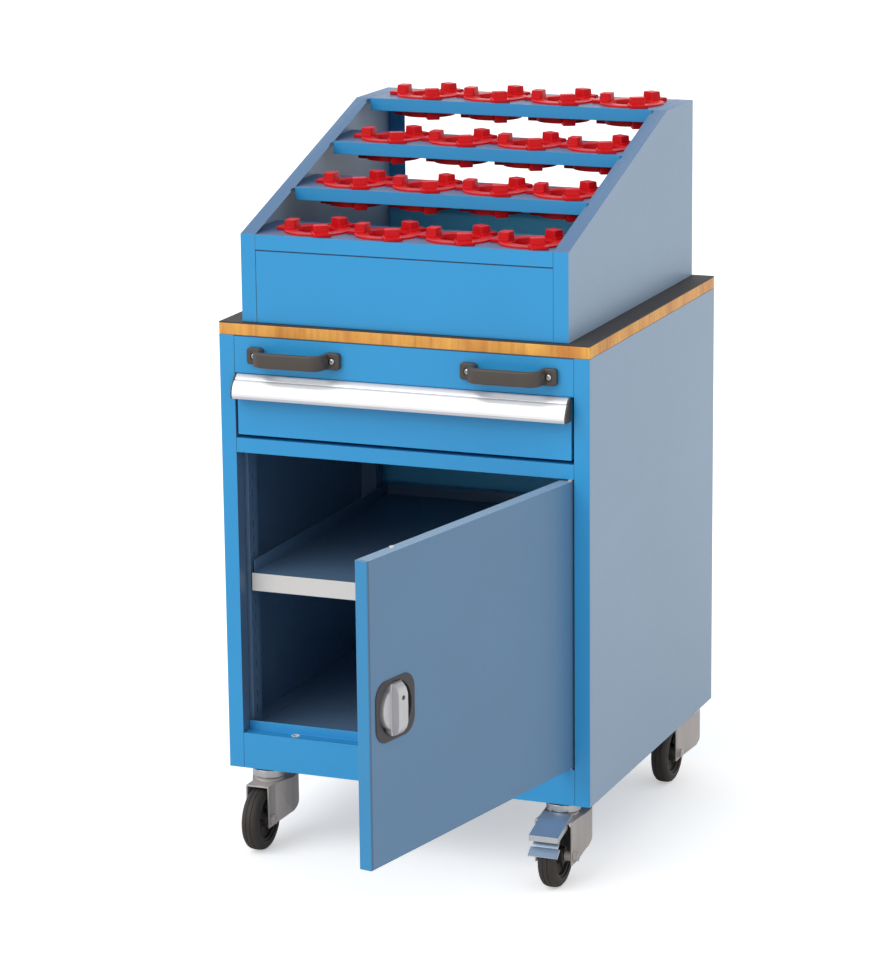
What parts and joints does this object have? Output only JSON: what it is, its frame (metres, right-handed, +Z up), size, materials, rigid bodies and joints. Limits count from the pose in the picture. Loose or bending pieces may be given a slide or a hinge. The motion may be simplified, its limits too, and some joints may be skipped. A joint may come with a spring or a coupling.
{
  "type": "tool cabinet",
  "caption": "Mobile steel tool cabinet with a drawer, a hinged door with a shelf behind it, a beech top, and a stepped rack of moulded tool-holder inserts on swivel casters.",
  "frame": {"origin": "on the floor under the middle of the footprint, with the door open as it rests", "axes": "+X to the cabinet's right as seen from its front, +Y to its back, +Z up"},
  "size_m": [0.6, 1.1468, 1.1391],
  "materials": {
    "paint_front": "fine textured powder coat, bright blue",
    "paint_side": "fine textured powder coat, grey blue",
    "paint_inside": "powder coat, deep blue",
    "paint_door": "fine textured powder coat, grey blue",
    "paint_shelf": "light grey powder coat",
    "beech": "oiled glued beech strips",
    "rubber_mat": "finely ribbed",
    "red_plastic": "moulded, satin",
    "black_plastic": "grained",
    "grey_plastic": "satin",
    "white_plastic": "satin",
    "zinc": "bright zinc plated pressing",
    "steel": "bright",
    "anodised": "satin anodised extrusion",
    "tyre_rubber": "matt solid rubber",
    "hub_plastic": "moulded"
  },
  "bodies": {
    "cabinet": {"side_panel_left": "paint_side", "side_panel_right": "paint_side", "back_panel": "paint_inside", "floor_pan": "paint_inside", "base_channels": "paint_inside", "bottom_rail": "paint_front", "mid_rail": "paint_front", "top_fascia": "paint_front", "top_rear_rail": "paint_inside", "shelf_uprights": "paint_inside", "shelf": "paint_shelf", "shelf_clips": "steel", "worktop": "beech", "mat": "rubber_mat", "rack_side_left": "paint_side", "rack_side_right": "paint_side", "rack_front": "paint_front", "rack_back": "paint_inside", "tier_1": "paint_side", "tier_2": "paint_side", "tier_3": "paint_side", "tier_4": "paint_side", "inserts_1": "red_plastic", "inserts_2": "red_plastic", "inserts_3": "red_plastic", "inserts_4": "red_plastic", "bow_handles": "black_plastic", "handle_screws": "steel", "hinge_pins": "steel", "drawer_slides_fixed": "zinc", "caster_heads": "zinc"},
    "door": {"door_skin": "paint_door", "door_pan": "paint_door", "hinge_bushes": "black_plastic", "latch_bowl": "black_plastic"},
    "latch": {"latch_handle": "grey_plastic", "latch_cam": "steel"},
    "rod_upper": {"latch_rod_upper": "white_plastic"},
    "rod_lower": {"latch_rod_lower": "white_plastic"},
    "drawer": {"drawer_tray": "paint_inside", "drawer_front": "paint_front", "drawer_grip": "anodised", "grip_caps": "black_plastic", "drawer_slides_inner": "zinc"},
    "slides_middle": {"drawer_slides_middle": "zinc"},
    "caster_front_left": {"fork_front_left": "zinc"},
    "wheel_front_left": {"hub_front_left": "hub_plastic", "tyre_front_left": "tyre_rubber"},
    "caster_front_right": {"fork_front_right": "zinc", "brake_cover": "zinc"},
    "wheel_front_right": {"hub_front_right": "hub_plastic", "tyre_front_right": "tyre_rubber"},
    "caster_rear_left": {"fork_rear_left": "zinc"},
    "wheel_rear_left": {"hub_rear_left": "hub_plastic", "tyre_rear_left": "tyre_rubber"},
    "caster_rear_right": {"fork_rear_right": "zinc"},
    "wheel_rear_right": {"hub_rear_right": "hub_plastic", "tyre_rear_right": "tyre_rubber"},
    "pedal": {"brake_pedal": "zinc"}
  },
  "joints": [
    {"name": "door_hinge", "type": "hinge", "parent": "cabinet", "child": "door", "pos_m": [0.2677, -0.04276, 0.185], "axis": [0, 0, 1], "range_deg": [-78.5, 26.5]},
    {"name": "latch_turn", "type": "hinge", "parent": "door", "child": "latch", "pos_m": [0.17715, -0.51141, 0.409], "axis": [0.9799, -0.1994, 0], "range_deg": [0, 90]},
    {"name": "rod_upper_slide", "type": "slide", "parent": "door", "child": "rod_upper", "axis": [0, 0, 1], "range_m": [0, 0.01]},
    {"name": "rod_lower_slide", "type": "slide", "parent": "door", "child": "rod_lower", "axis": [0, 0, -1], "range_m": [0, 0.01]},
    {"name": "drawer_slide", "type": "slide", "parent": "cabinet", "child": "drawer", "axis": [0, -1, 0], "range_m": [0, 0.45]},
    {"name": "slides_middle_slide", "type": "slide", "parent": "cabinet", "child": "slides_middle", "axis": [0, -1, 0], "range_m": [0, 0.225]},
    {"name": "swivel_front_left", "type": "hinge", "parent": "cabinet", "child": "caster_front_left", "pos_m": [-0.246, -0.01546, 0.1055], "axis": [0, 0, 1], "continuous": true},
    {"name": "wheel_spin_front_left", "type": "hinge", "parent": "caster_front_left", "child": "wheel_front_left", "pos_m": [-0.246, -0.05246, 0.05], "axis": [1, 0, 0], "continuous": true},
    {"name": "swivel_front_right", "type": "hinge", "parent": "cabinet", "child": "caster_front_right", "pos_m": [0.246, -0.01546, 0.1055], "axis": [0, 0, 1], "continuous": true},
    {"name": "wheel_spin_front_right", "type": "hinge", "parent": "caster_front_right", "child": "wheel_front_right", "pos_m": [0.246, -0.05246, 0.05], "axis": [1, 0, 0], "continuous": true},
    {"name": "swivel_rear_left", "type": "hinge", "parent": "cabinet", "child": "caster_rear_left", "pos_m": [-0.246, 0.52054, 0.1055], "axis": [0, 0, 1], "continuous": true},
    {"name": "wheel_spin_rear_left", "type": "hinge", "parent": "caster_rear_left", "child": "wheel_rear_left", "pos_m": [-0.246, 0.48354, 0.05], "axis": [1, 0, 0], "continuous": true},
    {"name": "swivel_rear_right", "type": "hinge", "parent": "cabinet", "child": "caster_rear_right", "pos_m": [0.246, 0.52054, 0.1055], "axis": [0, 0, 1], "continuous": true},
    {"name": "wheel_spin_rear_right", "type": "hinge", "parent": "caster_rear_right", "child": "wheel_rear_right", "pos_m": [0.246, 0.48354, 0.05], "axis": [1, 0, 0], "continuous": true},
    {"name": "brake_pedal_tilt", "type": "hinge", "parent": "caster_front_right", "child": "pedal", "pos_m": [0.246, -0.07746, 0.09896], "axis": [-1, 0, 0], "range_deg": [0, 12]}
  ],
  "couplings": [
    {"joint": "rod_upper_slide", "follows": "latch_turn", "m_per_rad": 0.006366},
    {"joint": "rod_lower_slide", "follows": "latch_turn", "m_per_rad": 0.006366},
    {"joint": "slides_middle_slide", "follows": "drawer_slide", "ratio": 0.5}
  ]
}
